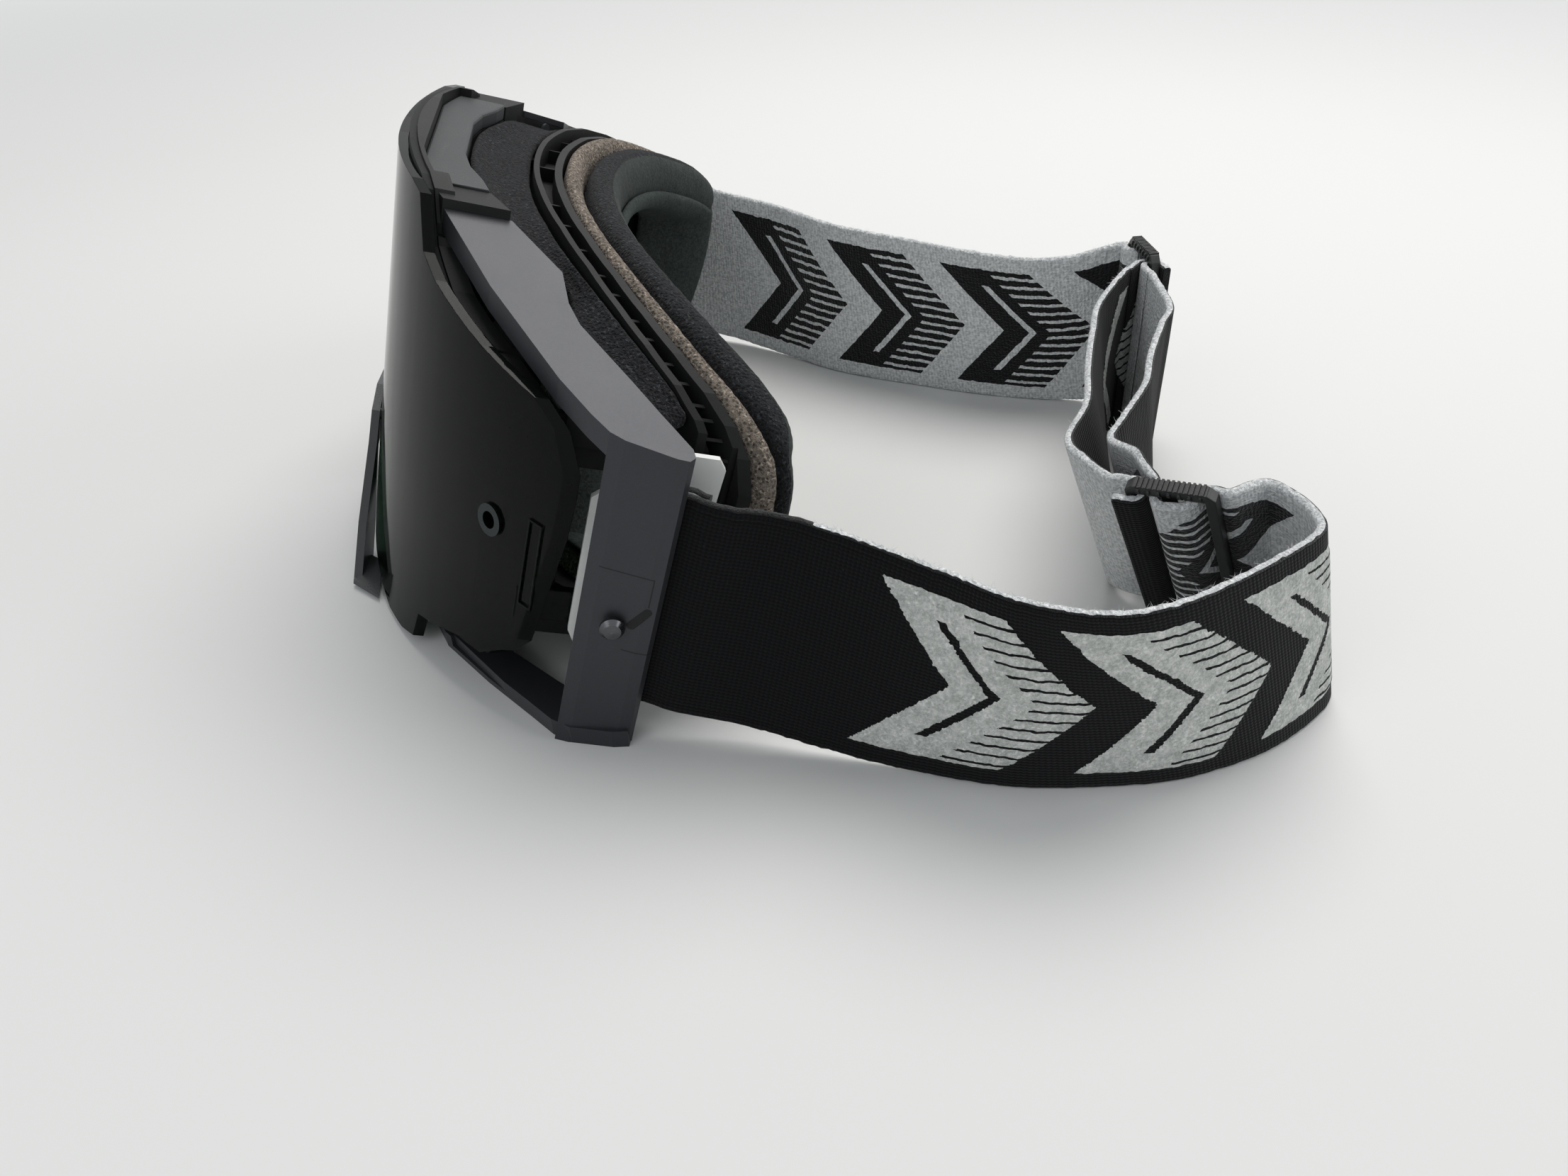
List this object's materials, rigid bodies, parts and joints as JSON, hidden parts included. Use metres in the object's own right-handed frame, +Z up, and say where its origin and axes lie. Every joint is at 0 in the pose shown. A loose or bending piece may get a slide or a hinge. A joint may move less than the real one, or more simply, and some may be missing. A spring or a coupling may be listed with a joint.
{
  "type": "motocross_goggles",
  "caption": "Motocross goggles with a dark wraparound lens, a nose guard, layered face foam, side outriggers and a wide elastic strap with slides, standing on a table.",
  "frame": {"origin": "centre of the table under the whole part's bounding box", "axes": "+X to the wearer's left and the longest extent, -Y the way the lens faces, +Z up and the shortest extent"},
  "size_m": [0.2218, 0.2075, 0.0958],
  "materials": {
    "frame_plastic": "satin",
    "outrigger_plastic": "satin",
    "pad_plastic": "matte",
    "vent_foam": "matte",
    "lens_plastic": "glossy",
    "gasket_rubber": "matte",
    "ring_metal": "satin",
    "stud_metal": "glossy",
    "pin_steel": "satin",
    "lever_plastic": "satin",
    "guard_plastic": "satin",
    "foam_light": "matte",
    "foam_dark": "matte",
    "fleece": "matte",
    "webbing": "matte",
    "slide_plastic": "satin"
  },
  "bodies": {
    "frame": {"main_frame": "frame_plastic", "face_flange": "frame_plastic", "top_pad": "pad_plastic", "top_vent_foam": "vent_foam", "lens_gasket": "gasket_rubber", "outrigger_left": "outrigger_plastic", "outrigger_right": "outrigger_plastic", "arm_rivets": "pin_steel", "stud_left": "stud_metal", "stud_right": "stud_metal", "lever_pin_left": "pin_steel", "lever_pin_right": "pin_steel", "foam_base_layer": "foam_light", "foam_dark_layer": "foam_dark", "foam_fleece": "fleece", "strap_bar_left": "pin_steel", "strap_bar_right": "pin_steel", "strap_left": "webbing", "strap_right": "webbing", "slide_left": "slide_plastic", "slide_right": "slide_plastic"},
    "lens": {"lens": "lens_plastic", "vent_ring_left": "ring_metal", "vent_ring_right": "ring_metal"},
    "nose_guard": {"nose_guard": "guard_plastic"},
    "lever_left": {"lock_lever_left": "lever_plastic"},
    "lever_right": {"lock_lever_right": "lever_plastic"}
  },
  "joints": [
    {"name": "lever_left_hinge", "type": "hinge", "parent": "frame", "child": "lever_left", "pos_m": [0.0684, -0.04102, 0.03178], "axis": [0, 0.2554, 0.9668], "range_deg": [0, 10]},
    {"name": "lever_right_hinge", "type": "hinge", "parent": "frame", "child": "lever_right", "pos_m": [-0.0956, -0.04102, 0.03178], "axis": [0, -0.2554, -0.9668], "range_deg": [0, 10]},
    {"name": "lens_removal", "type": "slide", "parent": "frame", "child": "lens", "axis": [0, -0.9668, 0.2554], "range_m": [0, 0.035]},
    {"name": "nose_guard_removal", "type": "slide", "parent": "lens", "child": "nose_guard", "axis": [0, -0.9668, 0.2554], "range_m": [0, 0.012]}
  ]
}
